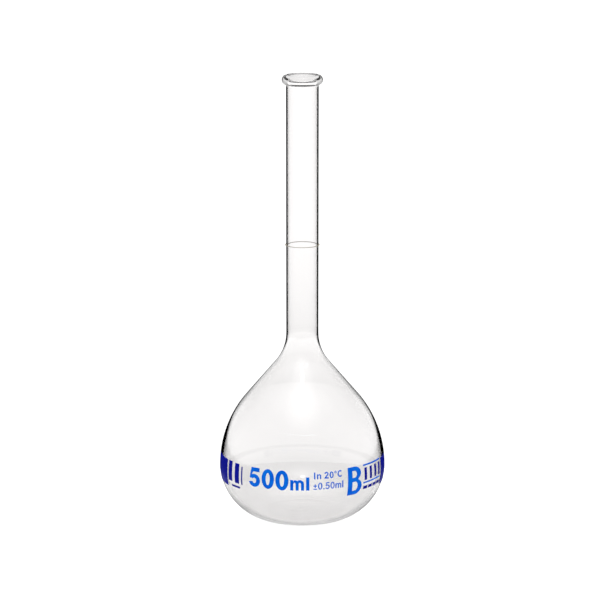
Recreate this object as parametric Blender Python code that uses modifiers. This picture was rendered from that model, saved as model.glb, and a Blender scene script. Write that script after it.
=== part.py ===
"""Volumetric flask, 500 ml: a blown glass vessel with an enamel ring and enamel markings.

Units are metres, +Z is up, and the flask stands on z = 0 with its axis on the Z axis.
The markings face -Y. Sizes below are in millimetres and are scaled by MM.
"""
import math

import bmesh
import bpy

MM = 0.001
STEPS = 48

# Vessel, outside.
TOTAL_HEIGHT = 272.5
EQUATOR_RADIUS = 50.7
EQUATOR_HEIGHT = 32.1
SHOULDER_RADIUS = 66.8
CONE_ANGLE = 40.4
FILLET_RADIUS = 27.7
NECK_RADIUS = 9.8
FOOT_RADIUS = 22.0
HEEL_RADIUS = 24.0
FOOT_INNER_RADIUS = 17.0
PUSH_UP = 0.6

# Vessel, walls.
BASE_WALL = 1.8
BULB_WALL = 1.6
CONE_WALL = 0.9
NECK_WALL = 0.85
FLOOR_WALL = 1.8

# Rim bead.
BEAD_CENTRE_RADIUS = 9.6
BEAD_REACH = 2.75
BEAD_HALF_HEIGHT = 3.0
LIP_DROP = 2.4

# Enamel.
ENAMEL_GAP = 0.3
ENAMEL_THICKNESS = 0.3
RING_HEIGHT = 169.3
RING_WIDTH = 0.6
CELL_U = 3.0
CELL_V = 4.0

GLASS = (0.93, 0.96, 0.95, 0.35)
PRINT_BLUE = (0.01, 0.07, 0.55, 1.0)
PANEL_BLUE = (0.004, 0.01, 0.25, 1.0)
RING_BROWN = (0.35, 0.27, 0.2, 1.0)


def clear_scene():
    for item in list(bpy.data.objects):
        bpy.data.objects.remove(item)


def make_collection(name):
    group = bpy.data.collections.new(name)
    bpy.context.scene.collection.children.link(group)
    return group


def make_material(name, colour, roughness, transmission):
    material = bpy.data.materials.new(name)
    material.use_nodes = True
    shader = material.node_tree.nodes["Principled BSDF"]
    shader.inputs["Base Color"].default_value = colour
    shader.inputs["Roughness"].default_value = roughness
    shader.inputs["Transmission Weight"].default_value = transmission
    shader.inputs["IOR"].default_value = 1.47
    material.diffuse_color = colour
    return material


def add_object(name, mesh, material, group):
    item = bpy.data.objects.new(name, mesh)
    group.objects.link(item)
    mesh.materials.append(material)
    for face in mesh.polygons:
        face.use_smooth = True
    return item


# ---------------------------------------------------------------- vessel

def lower_arc_radius():
    across = EQUATOR_RADIUS - FOOT_RADIUS
    rise = EQUATOR_HEIGHT - HEEL_RADIUS
    return (across ** 2 + rise ** 2 - HEEL_RADIUS ** 2) / (2 * (across - HEEL_RADIUS))


def arc(centre, radius, start, end, count):
    """Points and outward directions on an arc, angles in degrees from +r towards +z."""
    found = []
    for i in range(count + 1):
        turn = math.radians(start + (end - start) * i / count)
        direction = (math.cos(turn), math.sin(turn))
        found.append((centre[0] + radius * direction[0], centre[1] + radius * direction[1], direction))
    return found


def fillet_centre():
    """Centre of the round between the cone and the neck."""
    turn = math.radians(CONE_ANGLE)
    end_r = EQUATOR_RADIUS - SHOULDER_RADIUS * (1 - math.cos(turn))
    end_z = EQUATOR_HEIGHT + SHOULDER_RADIUS * math.sin(turn)
    start_r = NECK_RADIUS + FILLET_RADIUS * (1 - math.cos(turn))
    start_z = end_z + (end_r - start_r) / math.tan(turn)
    return (NECK_RADIUS + FILLET_RADIUS, start_z + FILLET_RADIUS * math.sin(turn))


def push_up(radius):
    """Height of the base's hollow at a radius."""
    if radius >= FOOT_INNER_RADIUS:
        return 0.0
    return PUSH_UP * 0.5 * (1 + math.cos(math.pi * radius / FOOT_INNER_RADIUS))


def smooth_step(value, low, high):
    t = min(1.0, max(0.0, (value - low) / (high - low)))
    return t * t * (3 - 2 * t)


def wall_at(z):
    """Wall of the blown glass by height: heavy at the base, thin on the cone and neck."""
    wall = BASE_WALL + (BULB_WALL - BASE_WALL) * smooth_step(z, 4.0, 26.0)
    wall += (CONE_WALL - BULB_WALL) * smooth_step(z, 66.0, 96.0)
    return wall + (NECK_WALL - CONE_WALL) * smooth_step(z, 96.0, 114.0)


def wall_sections():
    """Outer points from the neck down to the heel, each with its direction and wall."""
    found = []
    for r, z, direction in arc(fillet_centre(), FILLET_RADIUS, 180, 180 + CONE_ANGLE, 6):
        found.append((r, z, (-direction[0], -direction[1])))
    shoulder = (EQUATOR_RADIUS - SHOULDER_RADIUS, EQUATOR_HEIGHT)
    found.extend(arc(shoulder, SHOULDER_RADIUS, CONE_ANGLE, 0, 8))
    radius = lower_arc_radius()
    belly = (EQUATOR_RADIUS - radius, EQUATOR_HEIGHT)
    heel = (FOOT_RADIUS, HEEL_RADIUS)
    meet = math.degrees(math.atan2(heel[1] - belly[1], heel[0] - belly[0]))
    found.extend(arc(belly, radius, 0, meet, 8)[1:])
    found.extend(arc(heel, HEEL_RADIUS, meet, -90, 4)[1:])
    return [(r, z, direction, wall_at(z)) for r, z, direction in found]


def rim_points():
    """The bead from its lip down its outer side to the neck, then the lip's inner side."""
    top = TOTAL_HEIGHT
    middle = top - BEAD_HALF_HEIGHT
    outer = []
    for i in range(10):
        turn = math.radians(90 - 172 * i / 9)
        r = BEAD_CENTRE_RADIUS + BEAD_REACH * math.cos(turn)
        outer.append((r, middle + BEAD_HALF_HEIGHT * math.sin(turn)))
    outer.append((NECK_RADIUS, top - 2 * BEAD_HALF_HEIGHT - 0.15))
    bore = NECK_RADIUS - NECK_WALL
    inner = []
    for i in range(1, 5):
        turn = math.radians(90 + 90 * i / 4)
        r = BEAD_CENTRE_RADIUS + (BEAD_CENTRE_RADIUS - bore) * math.cos(turn)
        inner.append((r, top - LIP_DROP + LIP_DROP * math.sin(turn)))
    return outer, inner


def vessel_profile():
    """One line from the inner floor's centre, up the inside, over the lip and down the outside."""
    rim_outer, rim_inner = rim_points()
    walls = wall_sections()
    floor_rings = [FOOT_INNER_RADIUS * share for share in (1.0, 0.7, 0.35)]
    line = [(0.0, PUSH_UP + FLOOR_WALL)]
    for radius in reversed(floor_rings):
        share = push_up(radius) / PUSH_UP
        line.append((radius, BASE_WALL + (PUSH_UP + FLOOR_WALL - BASE_WALL) * share))
    for r, z, direction, wall in reversed(walls):
        line.append((r - wall * direction[0], z - wall * direction[1]))
    line.extend(reversed(rim_inner))
    line.extend(rim_outer)
    line.extend((r, z) for r, z, direction, wall in walls)
    line.extend((radius, push_up(radius)) for radius in floor_rings)
    line.append((0.0, PUSH_UP))
    return line


def turn_profile(name, line, closed, material, group):
    """Turn a profile line about Z with a Screw modifier."""
    mesh = bpy.data.meshes.new(name)
    verts = [(r * MM, 0.0, z * MM) for r, z in line]
    edges = [(i, i + 1) for i in range(len(verts) - 1)]
    if closed:
        edges.append((len(verts) - 1, 0))
    mesh.from_pydata(verts, edges, [])
    item = add_object(name, mesh, material, group)
    screw = item.modifiers.new("turn", "SCREW")
    screw.axis = "Z"
    screw.angle = 2 * math.pi
    screw.steps = STEPS
    screw.render_steps = STEPS
    screw.use_merge_vertices = True
    screw.merge_threshold = 0.00001
    screw.use_smooth_shade = True
    return item


def graduation_ring(material, group):
    inner = NECK_RADIUS + ENAMEL_GAP
    outer = inner + ENAMEL_THICKNESS
    top = RING_HEIGHT + RING_WIDTH / 2
    bottom = RING_HEIGHT - RING_WIDTH / 2
    section = [(inner, top), (outer, top), (outer, bottom), (inner, bottom)]
    return turn_profile("graduation_ring", section, True, material, group)


# ---------------------------------------------------------------- flat outlines

def bow(cx, cy, rx, ry, start, end, count):
    """Points on an ellipse's arc, in degrees."""
    found = []
    for i in range(count + 1):
        turn = math.radians(start + (end - start) * i / count)
        found.append((cx + rx * math.cos(turn), cy + ry * math.sin(turn)))
    return found


def loop(cx, cy, rx, ry, count):
    return bow(cx, cy, rx, ry, 0, 360, count)[:-1]


def shape_bar(w, h, s):
    return [[(0, 0), (w, 0), (w, h), (0, h)]]


def shape_zero(w, h, s):
    outer = loop(w / 2, h / 2, w / 2, h / 2, 20)
    inner = loop(w / 2, h / 2, w / 2 - s, h / 2 - 0.85 * s, 20)
    return [outer, inner]


def shape_five(w, h, s):
    cx = 0.47 * w
    cy = 0.335 * h
    outer = bow(cx, cy, 0.53 * w, cy, 196, 478, 18)
    inner = bow(cx, cy, 0.53 * w - s, cy - 0.85 * s, 505, 200, 14)
    stem = [(0.36 * w, h - 0.9 * s), (0.93 * w, h - 0.9 * s), (0.93 * w, h), (0.17 * w, h)]
    stem += [(0.03 * w, 0.46 * h), (0.03 * w + 0.8 * s, 0.43 * h)]
    return [outer + stem + inner]


def arch_outline(w, h, s, count):
    """Legs under one or more round arches: one arch is an n, two are an m."""
    pitch = (w - s) / count
    reach = (pitch + s) / 2
    rise = 0.42 * h
    base = h - rise
    meet = math.degrees(math.acos(pitch / 2 / reach))
    top = [(0, 0), (0, h), (0.9 * s, h), (s, 0.86 * h)]
    for k in range(count):
        first = 180 - meet if k else math.degrees(math.acos((1.35 * s - reach) / reach))
        last = meet if k < count - 1 else 0
        arch = bow(k * pitch + reach, base, reach, rise, first, last, 8)
        top.extend(arch[1:] if k else arch)
    under = []
    for k in reversed(range(count)):
        left = k * pitch
        under.extend([(left + pitch + s, 0), (left + pitch, 0)])
        under.extend(bow(left + reach, base, (pitch - s) / 2, rise - 0.9 * s, 0, 180, 8))
    under.append((s, 0))
    return [top + under]


def shape_n(w, h, s):
    return arch_outline(w, h, s, 1)


def shape_m(w, h, s):
    return arch_outline(w, h, s, 2)


def shape_two(w, h, s):
    cx = 0.5 * w
    cy = 0.7 * h
    outer = bow(cx, cy, 0.5 * w, 0.3 * h, -40, 170, 12)
    inner = bow(cx, cy, 0.5 * w - s, 0.3 * h - s, 170, -36, 12)
    return [[(0, 0), (w, 0), (w, s), (0.42 * w, s)] + outer + inner + [(0, 0.14 * h)]]


def shape_c(w, h, s):
    cx = 0.53 * w
    outer = bow(cx, h / 2, 0.53 * w, h / 2, 45, 315, 18)
    inner = bow(cx, h / 2, 0.53 * w - s, h / 2 - s, 315, 45, 18)
    return [outer + inner]


def shape_plus(w, h, s):
    a = (w - s) / 2
    b = (h - s) / 2
    left = [(a, 0), (a + s, 0), (a + s, b), (w, b), (w, b + s), (a + s, b + s)]
    right = [(a + s, h), (a, h), (a, b + s), (0, b + s), (0, b), (a, b)]
    return [left + right]


def shape_b(w, h, s):
    low = bow(0.5 * w, 0.28 * h, 0.5 * w, 0.28 * h, -90, 62, 12)
    high = bow(0.47 * w, 0.76 * h, 0.47 * w, 0.24 * h, -50, 90, 12)
    outer = [(0, 0)] + low + high + [(0, h)]
    t = 0.75 * s
    waist = 0.54 * h
    found = [outer]
    for bottom, top, right in ((t, waist - t / 2, 0.5 * w), (waist + t / 2, h - t, 0.47 * w)):
        half = (top - bottom) / 2
        hole = bow(right, bottom + half, right - s, half, -90, 90, 10)
        found.append([(s, bottom)] + hole + [(s, top)])
    return found


# ---------------------------------------------------------------- enamel on the bulb

def bulb_point(u, z, lift):
    """A point on the bulb: u runs round it from the front, lift is the height above the glass."""
    radius = SHOULDER_RADIUS if z >= EQUATOR_HEIGHT else lower_arc_radius()
    drop = z - EQUATOR_HEIGHT
    r = EQUATOR_RADIUS - radius + math.sqrt((radius + lift) ** 2 - drop ** 2)
    turn = u / EQUATOR_RADIUS
    return (r * math.sin(turn) * MM, -r * math.cos(turn) * MM, z * MM)


def cut_grid(work, axis, cell):
    """Cut a flat mesh along evenly spaced lines so it can bend."""
    values = [vert.co[axis] for vert in work.verts]
    first = math.ceil((min(values) + 0.3) / cell)
    last = math.floor((max(values) - 0.3) / cell)
    for k in range(first, last + 1):
        point = [0.0, 0.0, 0.0]
        normal = [0.0, 0.0, 0.0]
        point[axis] = k * cell
        normal[axis] = 1.0
        everything = work.verts[:] + work.edges[:] + work.faces[:]
        bmesh.ops.bisect_plane(work, geom=everything, dist=0.0001, plane_co=point, plane_no=normal)


def add_mark(name, loops, u, z, material, group):
    """One enamel mark: a flat outline, wrapped on the bulb and given its thickness."""
    work = bmesh.new()
    for points in loops:
        verts = [work.verts.new((u + x, z + y, 0.0)) for x, y in points]
        for i, vert in enumerate(verts):
            work.edges.new((vert, verts[(i + 1) % len(verts)]))
    bmesh.ops.triangle_fill(work, use_beauty=True, edges=work.edges[:], normal=(0, 0, 1))
    cut_grid(work, 0, CELL_U)
    cut_grid(work, 1, CELL_V)
    bmesh.ops.triangulate(work, faces=work.faces[:])
    for face in work.faces:
        if face.normal.z < 0:
            face.normal_flip()
    for vert in work.verts:
        vert.co = bulb_point(vert.co.x, vert.co.y, ENAMEL_GAP)
    mesh = bpy.data.meshes.new(name)
    work.to_mesh(mesh)
    work.free()
    item = add_object(name, mesh, material, group)
    shell = item.modifiers.new("enamel", "SOLIDIFY")
    shell.thickness = ENAMEL_THICKNESS * MM
    shell.offset = 1.0
    return item


# Name, shape, left edge u, bottom z, width, height, stroke.
CAPACITY = [
    ("capacity_digit_five", shape_five, -34.4, 29.2, 7.8, 11.9, 2.75),
    ("capacity_digit_zero_first", shape_zero, -25.5, 29.2, 8.2, 12.1, 2.75),
    ("capacity_digit_zero_second", shape_zero, -16.5, 29.1, 8.2, 12.2, 2.75),
    ("capacity_letter_m", shape_m, -7.3, 29.4, 8.3, 6.5, 1.85),
    ("capacity_letter_l", shape_bar, 2.2, 29.4, 2.0, 8.1, 1.8),
]
TEMPERATURE = [
    ("temperature_letter_i", shape_bar, 7.0, 36.2, 0.85, 4.1, 0.78),
    ("temperature_letter_n", shape_n, 8.8, 36.2, 2.6, 3.0, 0.78),
    ("temperature_digit_two", shape_two, 13.4, 36.2, 2.6, 4.1, 0.78),
    ("temperature_digit_zero", shape_zero, 16.6, 36.2, 2.6, 4.1, 0.78),
    ("temperature_degree_ring", shape_zero, 19.75, 38.9, 1.5, 1.5, 0.45),
    ("temperature_letter_c", shape_c, 21.8, 36.4, 3.2, 4.1, 0.78),
]
TOLERANCE = [
    ("tolerance_plus", shape_plus, 6.6, 30.9, 2.2, 2.2, 0.6),
    ("tolerance_minus", shape_bar, 6.6, 29.8, 2.2, 0.6, 0.5),
    ("tolerance_digit_zero_first", shape_zero, 9.4, 29.7, 2.7, 4.3, 0.72),
    ("tolerance_point", shape_bar, 12.65, 29.7, 0.8, 0.8, 0.6),
    ("tolerance_digit_five", shape_five, 14.0, 29.7, 2.6, 4.3, 0.72),
    ("tolerance_digit_zero_second", shape_zero, 17.1, 29.7, 2.7, 4.3, 0.72),
    ("tolerance_letter_m", shape_m, 20.3, 29.7, 3.9, 3.1, 0.72),
    ("tolerance_letter_l", shape_bar, 24.8, 29.7, 0.85, 4.3, 0.6),
]
CLASS_AND_RULES = [
    ("accuracy_class_letter_b", shape_b, 28.9, 23.6, 10.9, 17.4, 3.4),
    ("upper_rule", shape_bar, 41.3, 39.9, 19.4, 1.0, 1.0),
    ("lower_rule", shape_bar, 41.3, 29.1, 18.4, 1.0, 1.0),
]
PLAIN_BARS = [
    ("left_narrow_bar", -54.8, 28.6, 4.3, 12.4),
    ("left_wide_bar", -47.6, 28.4, 4.2, 12.4),
    ("left_thin_strip", -41.4, 28.4, 1.1, 11.2),
    ("left_foot_bar", -51.6, 25.4, 8.6, 1.3),
]
PANELS = [
    ("left_panel", -75.5, 24.4, 18.9, 16.5),
    ("right_panel", 62.7, 23.4, 12.0, 16.8),
]
TICKS = 4
DASHES = 4


def build():
    clear_scene()
    group = make_collection("volumetric_flask")
    glass = make_material("glass", GLASS, 0.03, 1.0)
    blue = make_material("print_blue", PRINT_BLUE, 0.35, 0.0)
    navy = make_material("panel_blue", PANEL_BLUE, 0.35, 0.0)
    brown = make_material("ring_brown", RING_BROWN, 0.45, 0.0)

    turn_profile("flask_body", vessel_profile(), False, glass, group)
    graduation_ring(brown, group)
    for row in (CAPACITY, TEMPERATURE, TOLERANCE, CLASS_AND_RULES):
        for name, shape, u, z, w, h, s in row:
            add_mark(name, shape(w, h, s), u, z, blue, group)
    for name, u, z, w, h in PLAIN_BARS:
        add_mark(name, shape_bar(w, h, 0), u, z, navy, group)
    for name, u, z, w, h in PANELS:
        add_mark(name, shape_bar(w, h, 0), u, z, navy, group)
    for k in range(TICKS):
        add_mark(f"plain_tick_{k + 1}", shape_bar(2.3, 7.8, 0), 42.3 + 5.2 * k, 31.0, navy, group)
    for k in range(DASHES):
        add_mark(f"plain_dash_{k + 1}", shape_bar(4.0, 2.0, 0), 41.5 + 4.9 * k, 25.4, navy, group)


build()
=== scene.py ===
"""Looks of a 500 ml volumetric flask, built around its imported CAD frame.

Everything is in metres, +Z up, with the flask's axis on Z and its print facing -Y.
Sizes in the tables are millimetres and are scaled by MM.
"""
import math

import bmesh
import bpy
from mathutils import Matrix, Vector


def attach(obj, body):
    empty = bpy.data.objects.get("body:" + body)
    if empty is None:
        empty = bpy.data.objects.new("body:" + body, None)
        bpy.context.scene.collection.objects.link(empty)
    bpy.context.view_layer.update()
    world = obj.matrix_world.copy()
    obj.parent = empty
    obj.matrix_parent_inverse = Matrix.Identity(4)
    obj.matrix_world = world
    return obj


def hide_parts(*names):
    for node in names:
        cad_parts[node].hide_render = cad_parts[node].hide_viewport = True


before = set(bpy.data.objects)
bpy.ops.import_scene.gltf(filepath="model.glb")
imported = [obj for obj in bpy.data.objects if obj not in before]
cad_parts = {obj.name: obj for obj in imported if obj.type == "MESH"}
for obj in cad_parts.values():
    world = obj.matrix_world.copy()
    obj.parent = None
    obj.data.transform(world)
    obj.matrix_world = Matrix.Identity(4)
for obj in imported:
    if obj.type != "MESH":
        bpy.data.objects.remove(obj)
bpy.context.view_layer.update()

MM = 0.001

# Outside of the vessel, as in the CAD.
TOTAL_HEIGHT = 272.5
EQUATOR_RADIUS = 50.7
EQUATOR_HEIGHT = 32.1
SHOULDER_RADIUS = 66.8
CONE_ANGLE = 40.4
FILLET_RADIUS = 27.7
NECK_RADIUS = 9.8
FOOT_RADIUS = 22.0
HEEL_RADIUS = 24.0
FOOT_INNER_RADIUS = 17.0
PUSH_UP = 0.6

# Walls.
BASE_WALL = 1.8
BULB_WALL = 1.6
CONE_WALL = 0.9
NECK_WALL = 0.85
FLOOR_WALL = 1.8
BELLY_BLEND = (4.0, 26.0)
CONE_BLEND = (66.0, 96.0)
NECK_BLEND = (96.0, 114.0)

# Rim bead.
BEAD_CENTRE_RADIUS = 9.6
BEAD_REACH = 2.75
BEAD_HALF_HEIGHT = 3.0
LIP_DROP = 2.4
BEAD_TURN = 168.0
UNDER_BEAD = 0.35
NECK_START = 0.6

# Small marks of making.
SEAM_HEIGHT = 114.0
SEAM_RIDGE = 0.05
SEAM_WALL_WIDTH = 1.6
SEAM_WIDTH = 0.8
TOOL_LINE_HEIGHT = 253.0
TOOL_LINE_RIDGE = 0.02
TOOL_LINE_WIDTH = 0.5
TOOL_LINE_SAMPLE = 0.6

# Enamel.
FILM_GAP = 0.03
FILM_THICKNESS = 0.06
CELL = 1.2

# Graduation ring: its section is an ellipse.
RING_HEIGHT = 169.3
RING_OFFSET = 0.4
RING_HALF_DEPTH = 0.3
RING_HALF_HEIGHT = 0.18
RING_POINTS = 12

# Plain ticks and dashes: count, first left edge u, pitch, bottom z, width, height.
TICKS = (4, 42.3, 5.2, 31.0, 2.3, 7.8)
DASHES = (4, 41.5, 4.9, 25.4, 4.0, 2.0)

# Materials: two tints that a noise mixes, and the shader values.
GLASS_TINTS = ((1.0, 0.994, 0.991, 1), (1.0, 0.99, 0.988, 1))
GLASS_IOR = 1.473
GLASS_ROUGHEST = 0.012
BLUE_TINTS = ((0.001, 0.115, 0.52, 1), (0.0, 0.065, 0.45, 1))
NAVY_TINTS = ((0.001, 0.004, 0.21, 1), (0.0, 0.002, 0.16, 1))
RING_TINTS = ((0.23, 0.21, 0.17, 1), (0.18, 0.16, 0.13, 1))
ENAMEL_IOR = 1.5
ENAMEL_SPECULAR = 0.02
ENAMEL_ROUGHNESS = (0.28, 0.46)
FLOOR_TINTS = ((0.93, 0.93, 0.93, 1), (0.95, 0.95, 0.95, 1))
FLOOR_ROUGHNESS = 0.9

# Colour sockets of a Mix node, whose names are shared with its number and vector sockets.
MIX_FACTOR = 0
MIX_FIRST = 6
MIX_SECOND = 7
MIX_RESULT = 2

# Turned mesh.
AROUND = 256
FLOOR_RINGS = 10

# Stage: grey level by elevation in degrees, behind glass and in reflections.
FLOOR_REACH = 0.115
FLOOR_DROP = 0.0001
WORLD_STRENGTH = 1.2
BEHIND_GLASS = [
    (-60, 0.7), (-20, 0.74), (-15.9, 0.775), (-15.3, 0.81), (-14.6, 0.86), (-13.6, 0.875),
    (-13, 0.87), (-11.5, 0.96), (-10.5, 1.0), (9, 1.0), (14, 0.03),
]
MIRRORED = [
    (-90, 0.75), (-20, 0.75), (-17, 0.0), (-6, 0.0), (-3.5, 0.66), (3, 0.66), (28, 0.1), (45, 0.1),
    (75, 0.8), (90, 0.8),
]
HALO_LEVEL = 0.9
CORE_LEVEL = 16.0
SOFTBOX_RISE = 65.5
HALO_SPAN = (0.08, 0.5)
CORE_SPAN = (0.035, 0.05)
FILL_POWER = 9.4
FILL_SIZE = 0.7
FILL_HEIGHT = 1.0
# Painted shade: the floor's grey where it is seen mirrored in the glass.
FLOOR_PAINTED_SHADE = 0.6

# Camera.
CAMERA_DISTANCE = 1.5
CAMERA_ELEVATION = 12.0
CAMERA_LENS = 147.95
CAMERA_SENSOR = 36.0
CAMERA_CLIP_START = 0.05
AIM_HEIGHT = 0.135
AIM_SIDE = -0.00142


# ---------------------------------------------------------------- small helpers

def link_mesh(name, mesh, material):
    item = bpy.data.objects.new(name, mesh)
    bpy.context.scene.collection.objects.link(item)
    mesh.materials.append(material)
    for face in mesh.polygons:
        face.use_smooth = True
    return item


def arc(centre, radius, start, end, count):
    """Points and outward directions on an arc, angles in degrees from +r towards +z."""
    found = []
    for i in range(count + 1):
        turn = math.radians(start + (end - start) * i / count)
        direction = (math.cos(turn), math.sin(turn))
        found.append((centre[0] + radius * direction[0], centre[1] + radius * direction[1], direction))
    return found


def bump(value, middle, width):
    """A smooth hump of height 1."""
    return math.exp(-((value - middle) / width) ** 2)


def smooth_step(value, low, high):
    t = min(1.0, max(0.0, (value - low) / (high - low)))
    return t * t * (3 - 2 * t)


# ---------------------------------------------------------------- vessel

def lower_arc_radius():
    across = EQUATOR_RADIUS - FOOT_RADIUS
    rise = EQUATOR_HEIGHT - HEEL_RADIUS
    return (across ** 2 + rise ** 2 - HEEL_RADIUS ** 2) / (2 * (across - HEEL_RADIUS))


def fillet_centre():
    turn = math.radians(CONE_ANGLE)
    end_r = EQUATOR_RADIUS - SHOULDER_RADIUS * (1 - math.cos(turn))
    end_z = EQUATOR_HEIGHT + SHOULDER_RADIUS * math.sin(turn)
    start_r = NECK_RADIUS + FILLET_RADIUS * (1 - math.cos(turn))
    start_z = end_z + (end_r - start_r) / math.tan(turn)
    return (NECK_RADIUS + FILLET_RADIUS, start_z + FILLET_RADIUS * math.sin(turn))


def push_up(radius):
    """Height of the hollow under the base."""
    if radius >= FOOT_INNER_RADIUS:
        return 0.0
    return PUSH_UP * 0.5 * (1 + math.cos(math.pi * radius / FOOT_INNER_RADIUS))


def wall_at(z):
    """Wall of the blown glass by height: heavy at the base, thin on the cone and neck."""
    wall = BASE_WALL + (BULB_WALL - BASE_WALL) * smooth_step(z, *BELLY_BLEND)
    wall += (CONE_WALL - BULB_WALL) * smooth_step(z, *CONE_BLEND)
    wall += (NECK_WALL - CONE_WALL) * smooth_step(z, *NECK_BLEND)
    return wall + SEAM_RIDGE * bump(z, SEAM_HEIGHT, SEAM_WALL_WIDTH)


def outer_relief(z):
    """Faint ridges: the weld between neck and bulb, and a tool line below the rim."""
    seam = SEAM_RIDGE * bump(z, SEAM_HEIGHT, SEAM_WIDTH)
    return seam + TOOL_LINE_RIDGE * bump(z, TOOL_LINE_HEIGHT, TOOL_LINE_WIDTH)


def wall_sections():
    """Outer points from under the bead down to the heel, each with its direction and wall."""
    found = []
    centre = fillet_centre()
    neck_top = TOTAL_HEIGHT - 2 * BEAD_HALF_HEIGHT - NECK_START
    steps = 60
    for i in range(steps):
        z = neck_top + (centre[1] - neck_top) * i / steps
        found.append((NECK_RADIUS, z, (1.0, 0.0)))
    for step in (1, 0, -1):
        found.append((NECK_RADIUS, TOOL_LINE_HEIGHT + step * TOOL_LINE_SAMPLE, (1.0, 0.0)))
    found.sort(key=lambda row: -row[1])
    for r, z, direction in arc(centre, FILLET_RADIUS, 180, 180 + CONE_ANGLE, 26):
        found.append((r, z, (-direction[0], -direction[1])))
    shoulder = (EQUATOR_RADIUS - SHOULDER_RADIUS, EQUATOR_HEIGHT)
    for r, z, direction in arc(shoulder, SHOULDER_RADIUS, CONE_ANGLE, 0, 26):
        found.append((r, z, direction))
    radius = lower_arc_radius()
    belly = (EQUATOR_RADIUS - radius, EQUATOR_HEIGHT)
    heel = (FOOT_RADIUS, HEEL_RADIUS)
    meet = math.degrees(math.atan2(heel[1] - belly[1], heel[0] - belly[0]))
    for r, z, direction in arc(belly, radius, 0, meet, 22)[1:]:
        found.append((r, z, direction))
    for r, z, direction in arc(heel, HEEL_RADIUS, meet, -90, 10)[1:]:
        found.append((r, z, direction))
    return [(r + outer_relief(z) * d[0], z, d, wall_at(z)) for r, z, d in found]


def rim_points():
    """The bead from its lip down its outer side to the neck, then the lip's inner side."""
    top = TOTAL_HEIGHT
    middle = top - BEAD_HALF_HEIGHT
    outer = []
    for i in range(30):
        turn = math.radians(90 - BEAD_TURN * i / 29)
        r = BEAD_CENTRE_RADIUS + BEAD_REACH * math.cos(turn)
        outer.append((r, middle + BEAD_HALF_HEIGHT * math.sin(turn)))
    last = outer[-1]
    under = top - 2 * BEAD_HALF_HEIGHT - UNDER_BEAD
    for i in range(1, 6):
        t = i / 6
        r = last[0] + (NECK_RADIUS - last[0]) * (1 - (1 - t) ** 2)
        outer.append((r, last[1] + (under - last[1]) * t ** 2))
    bore = NECK_RADIUS - NECK_WALL
    inner = []
    for i in range(1, 13):
        turn = math.radians(90 + 90 * i / 12)
        r = BEAD_CENTRE_RADIUS + (BEAD_CENTRE_RADIUS - bore) * math.cos(turn)
        inner.append((r, top - LIP_DROP + LIP_DROP * math.sin(turn)))
    return outer, inner


def vessel_profile():
    """One line from the inner floor's centre, up the inside, over the lip and down the outside."""
    rim_outer, rim_inner = rim_points()
    walls = wall_sections()
    rings = [FOOT_INNER_RADIUS * (FLOOR_RINGS - k) / FLOOR_RINGS for k in range(FLOOR_RINGS)]
    line = [(0.0, PUSH_UP + FLOOR_WALL)]
    for radius in reversed(rings):
        share = push_up(radius) / PUSH_UP
        line.append((radius, BASE_WALL + (PUSH_UP + FLOOR_WALL - BASE_WALL) * share))
    for r, z, direction, wall in reversed(walls):
        line.append((r - wall * direction[0], z - wall * direction[1]))
    line.extend(reversed(rim_inner))
    line.extend(rim_outer)
    line.extend((r, z) for r, z, direction, wall in walls)
    line.extend((radius, push_up(radius)) for radius in rings)
    line.append((0.0, PUSH_UP))
    return line


def turned_mesh(name, line, closed=False):
    """A surface of revolution about Z. Points on the axis become single vertices."""
    work = bmesh.new()
    rings = []
    for r, z in line:
        if r < 1e-6:
            rings.append([work.verts.new((0.0, 0.0, z * MM))])
            continue
        ring = []
        for k in range(AROUND):
            turn = 2 * math.pi * k / AROUND
            ring.append(work.verts.new((r * math.cos(turn) * MM, r * math.sin(turn) * MM, z * MM)))
        rings.append(ring)
    pairs = list(zip(rings, rings[1:]))
    if closed:
        pairs.append((rings[-1], rings[0]))
    for first, second in pairs:
        for k in range(AROUND):
            after = (k + 1) % AROUND
            if len(first) == 1:
                work.faces.new((first[0], second[after], second[k]))
            elif len(second) == 1:
                work.faces.new((first[k], first[after], second[0]))
            else:
                work.faces.new((first[k], first[after], second[after], second[k]))
    bmesh.ops.recalc_face_normals(work, faces=work.faces[:])
    mesh = bpy.data.meshes.new(name)
    work.to_mesh(mesh)
    work.free()
    return mesh


# ---------------------------------------------------------------- flat outlines

def bow(cx, cy, rx, ry, start, end, count):
    found = []
    for i in range(count + 1):
        turn = math.radians(start + (end - start) * i / count)
        found.append((cx + rx * math.cos(turn), cy + ry * math.sin(turn)))
    return found


def loop(cx, cy, rx, ry, count):
    return bow(cx, cy, rx, ry, 0, 360, count)[:-1]


def shape_bar(w, h, s):
    return [[(0, 0), (w, 0), (w, h), (0, h)]]


def shape_zero(w, h, s):
    outer = loop(w / 2, h / 2, w / 2, h / 2, 48)
    inner = loop(w / 2, h / 2, w / 2 - s, h / 2 - 0.85 * s, 48)
    return [outer, inner]


def shape_five(w, h, s):
    cx = 0.47 * w
    cy = 0.335 * h
    outer = bow(cx, cy, 0.53 * w, cy, 196, 478, 44)
    inner = bow(cx, cy, 0.53 * w - s, cy - 0.85 * s, 505, 200, 36)
    stem = [(0.36 * w, h - 0.9 * s), (0.93 * w, h - 0.9 * s), (0.93 * w, h), (0.17 * w, h)]
    stem += [(0.03 * w, 0.46 * h), (0.03 * w + 0.8 * s, 0.43 * h)]
    return [outer + stem + inner]


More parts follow.
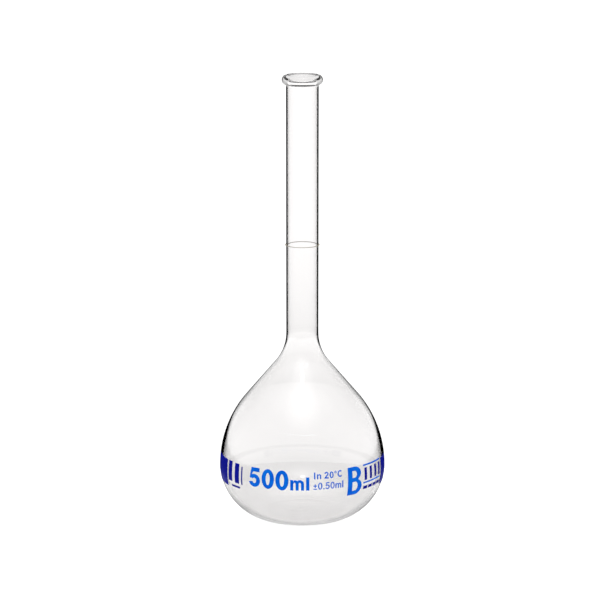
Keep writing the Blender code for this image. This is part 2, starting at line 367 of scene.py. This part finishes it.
def arch_outline(w, h, s, count):
    """Legs under one or more round arches: one arch is an n, two are an m."""
    pitch = (w - s) / count
    reach = (pitch + s) / 2
    rise = 0.42 * h
    base = h - rise
    meet = math.degrees(math.acos(pitch / 2 / reach))
    top = [(0, 0), (0, h), (0.9 * s, h), (s, 0.86 * h)]
    for k in range(count):
        first = 180 - meet if k else math.degrees(math.acos((1.35 * s - reach) / reach))
        last = meet if k < count - 1 else 0
        arch = bow(k * pitch + reach, base, reach, rise, first, last, 20)
        top.extend(arch[1:] if k else arch)
    under = []
    for k in reversed(range(count)):
        left = k * pitch
        under.extend([(left + pitch + s, 0), (left + pitch, 0)])
        under.extend(bow(left + reach, base, (pitch - s) / 2, rise - 0.9 * s, 0, 180, 20))
    under.append((s, 0))
    return [top + under]


def shape_n(w, h, s):
    return arch_outline(w, h, s, 1)


def shape_m(w, h, s):
    return arch_outline(w, h, s, 2)


def shape_two(w, h, s):
    cx = 0.5 * w
    cy = 0.7 * h
    outer = bow(cx, cy, 0.5 * w, 0.3 * h, -40, 170, 30)
    inner = bow(cx, cy, 0.5 * w - s, 0.3 * h - s, 170, -36, 30)
    return [[(0, 0), (w, 0), (w, s), (0.42 * w, s)] + outer + inner + [(0, 0.14 * h)]]


def shape_c(w, h, s):
    cx = 0.53 * w
    outer = bow(cx, h / 2, 0.53 * w, h / 2, 45, 315, 40)
    inner = bow(cx, h / 2, 0.53 * w - s, h / 2 - s, 315, 45, 40)
    return [outer + inner]


def shape_plus(w, h, s):
    a = (w - s) / 2
    b = (h - s) / 2
    left = [(a, 0), (a + s, 0), (a + s, b), (w, b), (w, b + s), (a + s, b + s)]
    right = [(a + s, h), (a, h), (a, b + s), (0, b + s), (0, b), (a, b)]
    return [left + right]


def shape_b(w, h, s):
    low = bow(0.5 * w, 0.28 * h, 0.5 * w, 0.28 * h, -90, 62, 30)
    high = bow(0.47 * w, 0.76 * h, 0.47 * w, 0.24 * h, -50, 90, 30)
    outer = [(0, 0)] + low + high + [(0, h)]
    t = 0.75 * s
    waist = 0.54 * h
    found = [outer]
    for bottom, top, right in ((t, waist - t / 2, 0.5 * w), (waist + t / 2, h - t, 0.47 * w)):
        half = (top - bottom) / 2
        hole = bow(right, bottom + half, right - s, half, -90, 90, 24)
        found.append([(s, bottom)] + hole + [(s, top)])
    return found


# ---------------------------------------------------------------- enamel film

def bulb_point(u, z, lift):
    radius = SHOULDER_RADIUS if z >= EQUATOR_HEIGHT else lower_arc_radius()
    drop = z - EQUATOR_HEIGHT
    r = EQUATOR_RADIUS - radius + math.sqrt((radius + lift) ** 2 - drop ** 2)
    turn = u / EQUATOR_RADIUS
    return (r * math.sin(turn) * MM, -r * math.cos(turn) * MM, z * MM)


def cut_grid(work, axis, cell):
    values = [vert.co[axis] for vert in work.verts]
    first = math.ceil((min(values) + 0.1) / cell)
    last = math.floor((max(values) - 0.1) / cell)
    for k in range(first, last + 1):
        point = [0.0, 0.0, 0.0]
        normal = [0.0, 0.0, 0.0]
        point[axis] = k * cell
        normal[axis] = 1.0
        everything = work.verts[:] + work.edges[:] + work.faces[:]
        bmesh.ops.bisect_plane(work, geom=everything, dist=0.0001, plane_co=point, plane_no=normal)


def add_mark(node, loops, u, z, material):
    """One enamel mark: a flat outline wrapped on the bulb as a thin film, standing for its CAD node."""
    work = bmesh.new()
    for points in loops:
        verts = [work.verts.new((u + x, z + y, 0.0)) for x, y in points]
        for i, vert in enumerate(verts):
            work.edges.new((vert, verts[(i + 1) % len(verts)]))
    bmesh.ops.triangle_fill(work, use_beauty=True, edges=work.edges[:], normal=(0, 0, 1))
    cut_grid(work, 0, CELL)
    cut_grid(work, 1, CELL)
    for face in work.faces:
        if face.normal.z < 0:
            face.normal_flip()
    for vert in work.verts:
        vert.co = bulb_point(vert.co.x, vert.co.y, FILM_GAP)
    mesh = bpy.data.meshes.new("film_" + node)
    work.to_mesh(mesh)
    work.free()
    item = link_mesh("film_" + node, mesh, material)
    shell = item.modifiers.new("film", "SOLIDIFY")
    shell.thickness = FILM_THICKNESS * MM
    shell.offset = 1.0
    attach(item, "root")
    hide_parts(node)


# ---------------------------------------------------------------- materials

def new_material(name):
    material = bpy.data.materials.new(name)
    material.use_nodes = True
    tree = material.node_tree
    return material, tree, tree.nodes["Principled BSDF"]


def add_noise(tree, scale, detail, coordinates):
    noise = tree.nodes.new("ShaderNodeTexNoise")
    noise.inputs["Scale"].default_value = scale
    noise.inputs["Detail"].default_value = detail
    tree.links.new(coordinates, noise.inputs["Vector"])
    return noise


def map_range(tree, source, low, high, new_low, new_high):
    node = tree.nodes.new("ShaderNodeMapRange")
    node.inputs["From Min"].default_value = low
    node.inputs["From Max"].default_value = high
    node.inputs["To Min"].default_value = new_low
    node.inputs["To Max"].default_value = new_high
    tree.links.new(source, node.inputs["Value"])
    return node.outputs["Result"]


def deeper(tree, depth):
    """0 for a ray that has not yet been bent or mirrored, 1 for one that has."""
    return map_range(tree, depth, 0.4, 0.6, 0.0, 1.0)


def mix_colours(tree, factor, first, second):
    node = tree.nodes.new("ShaderNodeMix")
    node.data_type = "RGBA"
    node.inputs[MIX_FIRST].default_value = first
    node.inputs[MIX_SECOND].default_value = second
    tree.links.new(factor, node.inputs[MIX_FACTOR])
    return node.outputs[MIX_RESULT]


def add_relief(tree, shader, source, strength, distance):
    relief = tree.nodes.new("ShaderNodeBump")
    relief.inputs["Strength"].default_value = strength
    relief.inputs["Distance"].default_value = distance
    tree.links.new(source, relief.inputs["Height"])
    tree.links.new(relief.outputs["Normal"], shader.inputs["Normal"])


def glass_material():
    """Clear borosilicate: smooth, with the faint draw lines and waviness of blown glass."""
    material, tree, shader = new_material("clear_glass")
    shader.inputs["Transmission Weight"].default_value = 1.0
    shader.inputs["IOR"].default_value = GLASS_IOR
    place = tree.nodes.new("ShaderNodeTexCoord").outputs["Object"]
    tint = add_noise(tree, 14.0, 2.0, place)
    colour = mix_colours(tree, tint.outputs["Fac"], *GLASS_TINTS)
    tree.links.new(colour, shader.inputs["Base Color"])
    haze = add_noise(tree, 90.0, 3.0, place)
    rough = map_range(tree, haze.outputs["Fac"], 0.3, 0.8, 0.0, GLASS_ROUGHEST)
    tree.links.new(rough, shader.inputs["Roughness"])
    wave = add_noise(tree, 45.0, 1.0, place)
    add_relief(tree, shader, wave.outputs["Fac"], 0.05, 0.0004)
    return material


def enamel_material(name, light, dark):
    """Fired enamel: slightly uneven colour, a satin skin and tiny pinholes."""
    material, tree, shader = new_material(name)
    place = tree.nodes.new("ShaderNodeTexCoord").outputs["Object"]
    cloud = add_noise(tree, 260.0, 4.0, place)
    share = map_range(tree, cloud.outputs["Fac"], 0.3, 0.7, 0.0, 1.0)
    tree.links.new(mix_colours(tree, share, light, dark), shader.inputs["Base Color"])
    grain = add_noise(tree, 1800.0, 2.0, place)
    rough = map_range(tree, grain.outputs["Fac"], 0.3, 0.7, *ENAMEL_ROUGHNESS)
    tree.links.new(rough, shader.inputs["Roughness"])
    add_relief(tree, shader, grain.outputs["Fac"], 0.2, 0.00004)
    shader.inputs["IOR"].default_value = ENAMEL_IOR
    shader.inputs["Specular IOR Level"].default_value = ENAMEL_SPECULAR
    return material


def floor_material():
    """Plain pale floor with painted shade: its colour turns a dimmer grey where the glass mirrors it."""
    material, tree, shader = new_material("pale_floor")
    place = tree.nodes.new("ShaderNodeTexCoord").outputs["Object"]
    cloud = add_noise(tree, 6.0, 3.0, place)
    colour = mix_colours(tree, cloud.outputs["Fac"], *FLOOR_TINTS)
    # Painted shade: the base colour drops to a dimmer grey for rays that reach the floor by way of a
    # mirroring.
    dim = tree.nodes.new("ShaderNodeMix")
    dim.data_type = "RGBA"
    dim.inputs[MIX_SECOND].default_value = (FLOOR_PAINTED_SHADE, FLOOR_PAINTED_SHADE, FLOOR_PAINTED_SHADE, 1)
    mirrored = tree.nodes.new("ShaderNodeLightPath").outputs["Glossy Depth"]
    tree.links.new(deeper(tree, mirrored), dim.inputs[MIX_FACTOR])
    tree.links.new(colour, dim.inputs[MIX_FIRST])
    tree.links.new(dim.outputs[MIX_RESULT], shader.inputs["Base Color"])
    shader.inputs["Roughness"].default_value = FLOOR_ROUGHNESS
    shader.inputs["Specular IOR Level"].default_value = 0.0
    return material


# ---------------------------------------------------------------- what is printed where

# CAD node, shape, left edge u, bottom z, width, height, stroke.
PRINT = [
    ("capacity_digit_five", shape_five, -34.4, 29.2, 7.8, 11.9, 2.75),
    ("capacity_digit_zero_first", shape_zero, -25.5, 29.2, 8.2, 12.1, 2.75),
    ("capacity_digit_zero_second", shape_zero, -16.5, 29.1, 8.2, 12.2, 2.75),
    ("capacity_letter_m", shape_m, -7.3, 29.4, 8.3, 6.5, 1.85),
    ("capacity_letter_l", shape_bar, 2.2, 29.4, 2.0, 8.1, 1.8),
    ("temperature_letter_i", shape_bar, 7.0, 36.2, 0.85, 4.1, 0.78),
    ("temperature_letter_n", shape_n, 8.8, 36.2, 2.6, 3.0, 0.78),
    ("temperature_digit_two", shape_two, 13.4, 36.2, 2.6, 4.1, 0.78),
    ("temperature_digit_zero", shape_zero, 16.6, 36.2, 2.6, 4.1, 0.78),
    ("temperature_degree_ring", shape_zero, 19.75, 38.9, 1.5, 1.5, 0.45),
    ("temperature_letter_c", shape_c, 21.8, 36.4, 3.2, 4.1, 0.78),
    ("tolerance_plus", shape_plus, 6.6, 30.9, 2.2, 2.2, 0.6),
    ("tolerance_minus", shape_bar, 6.6, 29.8, 2.2, 0.6, 0.5),
    ("tolerance_digit_zero_first", shape_zero, 9.4, 29.7, 2.7, 4.3, 0.72),
    ("tolerance_point", shape_bar, 12.65, 29.7, 0.8, 0.8, 0.6),
    ("tolerance_digit_five", shape_five, 14.0, 29.7, 2.6, 4.3, 0.72),
    ("tolerance_digit_zero_second", shape_zero, 17.1, 29.7, 2.7, 4.3, 0.72),
    ("tolerance_letter_m", shape_m, 20.3, 29.7, 3.9, 3.1, 0.72),
    ("tolerance_letter_l", shape_bar, 24.8, 29.7, 0.85, 4.3, 0.6),
    ("accuracy_class_letter_b", shape_b, 28.9, 23.6, 10.9, 17.4, 3.4),
    ("upper_rule", shape_bar, 41.3, 39.9, 19.4, 1.0, 1.0),
    ("lower_rule", shape_bar, 41.3, 29.1, 18.4, 1.0, 1.0),
]
# CAD node, left edge u, bottom z, width, height.
BARS = [
    ("left_narrow_bar", -54.8, 28.6, 4.3, 12.4),
    ("left_wide_bar", -47.6, 28.4, 4.2, 12.4),
    ("left_thin_strip", -41.4, 28.4, 1.1, 11.2),
    ("left_foot_bar", -51.6, 25.4, 8.6, 1.3),
    ("left_panel", -75.5, 24.4, 18.9, 16.5),
    ("right_panel", 62.7, 23.4, 12.0, 16.8),
]


def build_vessel():
    mesh = turned_mesh("blown_vessel", vessel_profile())
    item = link_mesh("blown_vessel", mesh, glass_material())
    item.visible_shadow = False
    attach(item, "root")
    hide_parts("flask_body")


def build_ring():
    material = enamel_material("fired_line", *RING_TINTS)
    section = []
    for i in range(RING_POINTS):
        turn = 2 * math.pi * i / RING_POINTS
        r = NECK_RADIUS + RING_OFFSET + RING_HALF_DEPTH * math.cos(turn)
        section.append((r, RING_HEIGHT + RING_HALF_HEIGHT * math.sin(turn)))
    item = link_mesh("fired_ring", turned_mesh("fired_ring", section, True), material)
    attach(item, "root")
    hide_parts("graduation_ring")


def build_print():
    blue = enamel_material("blue_enamel", *BLUE_TINTS)
    navy = enamel_material("navy_enamel", *NAVY_TINTS)
    for node, shape, u, z, w, h, s in PRINT:
        add_mark(node, shape(w, h, s), u, z, blue)
    for node, u, z, w, h in BARS:
        add_mark(node, shape_bar(w, h, 0), u, z, navy)
    for stem, row in (("plain_tick", TICKS), ("plain_dash", DASHES)):
        count, first, pitch, z, w, h = row
        for k in range(count):
            add_mark(f"{stem}_{k + 1}", shape_bar(w, h, 0), first + pitch * k, z, navy)


# ---------------------------------------------------------------- stage, light and camera

def build_floor():
    work = bmesh.new()
    bmesh.ops.create_circle(work, cap_ends=True, segments=192, radius=FLOOR_REACH)
    mesh = bpy.data.meshes.new("floor")
    work.to_mesh(mesh)
    work.free()
    item = link_mesh("floor", mesh, floor_material())
    item.location.z = -FLOOR_DROP


def build_world():
    """Plain white as seen straight; behind glass a backdrop with a dim ceiling; a studio when mirrored."""
    world = bpy.data.worlds.new("studio")
    world.use_nodes = True
    tree = world.node_tree
    tree.nodes.clear()
    place = tree.nodes.new("ShaderNodeTexCoord").outputs["Generated"]
    split = tree.nodes.new("ShaderNodeSeparateXYZ")
    tree.links.new(place, split.inputs[0])
    height = map_range(tree, split.outputs["Z"], -1.0, 1.0, 0.0, 1.0)

    def ramp(stops):
        """Grey level by elevation in degrees."""
        node = tree.nodes.new("ShaderNodeValToRGB")
        points = node.color_ramp.elements
        while len(points) < len(stops):
            points.new(0.5)
        for point, (rise, level) in zip(points, stops):
            point.position = (math.sin(math.radians(rise)) + 1) / 2
            point.color = (level, level, level, 1)
        tree.links.new(height, node.inputs["Fac"])
        return node.outputs["Color"]

    def choose(depth, first, second):
        node = tree.nodes.new("ShaderNodeMix")
        node.data_type = "RGBA"
        tree.links.new(deeper(tree, depth), node.inputs[MIX_FACTOR])
        tree.links.new(first, node.inputs[MIX_FIRST])
        tree.links.new(second, node.inputs[MIX_SECOND])
        return node.outputs[MIX_RESULT]

    path = tree.nodes.new("ShaderNodeLightPath")
    plain = ramp([(-90, 1.0), (90, 1.0)])
    behind = ramp(BEHIND_GLASS)
    studio = ramp(MIRRORED)
    rise = math.radians(SOFTBOX_RISE)
    toward = tree.nodes.new("ShaderNodeVectorMath")
    toward.operation = "DISTANCE"
    toward.inputs[1].default_value = (0.0, -math.cos(rise), math.sin(rise))
    tree.links.new(place, toward.inputs[0])
    halo = map_range(tree, toward.outputs["Value"], *HALO_SPAN, HALO_LEVEL, 0.0)
    core = map_range(tree, toward.outputs["Value"], *CORE_SPAN, CORE_LEVEL, 0.0)
    add = tree.nodes.new("ShaderNodeMath")
    tree.links.new(halo, add.inputs[0])
    tree.links.new(core, add.inputs[1])
    glow = tree.nodes.new("ShaderNodeMix")
    glow.data_type = "RGBA"
    glow.blend_type = "ADD"
    glow.inputs[MIX_FACTOR].default_value = 1.0
    tree.links.new(studio, glow.inputs[MIX_FIRST])
    tree.links.new(add.outputs[0], glow.inputs[MIX_SECOND])
    seen = choose(path.outputs["Transmission Depth"], plain, behind)
    seen = choose(path.outputs["Glossy Depth"], seen, glow.outputs[MIX_RESULT])
    back = tree.nodes.new("ShaderNodeBackground")
    back.inputs["Strength"].default_value = WORLD_STRENGTH
    tree.links.new(seen, back.inputs["Color"])
    out = tree.nodes.new("ShaderNodeOutputWorld")
    tree.links.new(back.outputs[0], out.inputs["Surface"])
    bpy.context.scene.world = world


def aim(item, place, target):
    item.location = place
    item.rotation_euler = (Vector(target) - Vector(place)).to_track_quat("-Z", "Y").to_euler()


def build_lights():
    """A broad overhead fill that brightens the floor and isn't mirrored in the glass."""
    lamp = bpy.data.lights.new("overhead_fill", "AREA")
    lamp.shape = "SQUARE"
    lamp.size = FILL_SIZE
    lamp.energy = FILL_POWER
    item = bpy.data.objects.new("overhead_fill", lamp)
    bpy.context.scene.collection.objects.link(item)
    item.location = (0.0, 0.0, FILL_HEIGHT)
    item.visible_glossy = False
    item.visible_transmission = False


def build_camera():
    camera = bpy.data.cameras.new("camera")
    camera.lens = CAMERA_LENS
    camera.sensor_width = CAMERA_SENSOR
    camera.clip_start = CAMERA_CLIP_START
    item = bpy.data.objects.new("camera", camera)
    bpy.context.scene.collection.objects.link(item)
    rise = math.radians(CAMERA_ELEVATION)
    target = (AIM_SIDE, 0.0, AIM_HEIGHT)
    place = (AIM_SIDE, -CAMERA_DISTANCE * math.cos(rise), AIM_HEIGHT + CAMERA_DISTANCE * math.sin(rise))
    aim(item, place, target)
    bpy.context.scene.camera = item


build_camera()
build_world()
build_lights()
build_floor()
build_vessel()
build_ring()
build_print()
bpy.context.scene.view_settings.view_transform = "Standard"
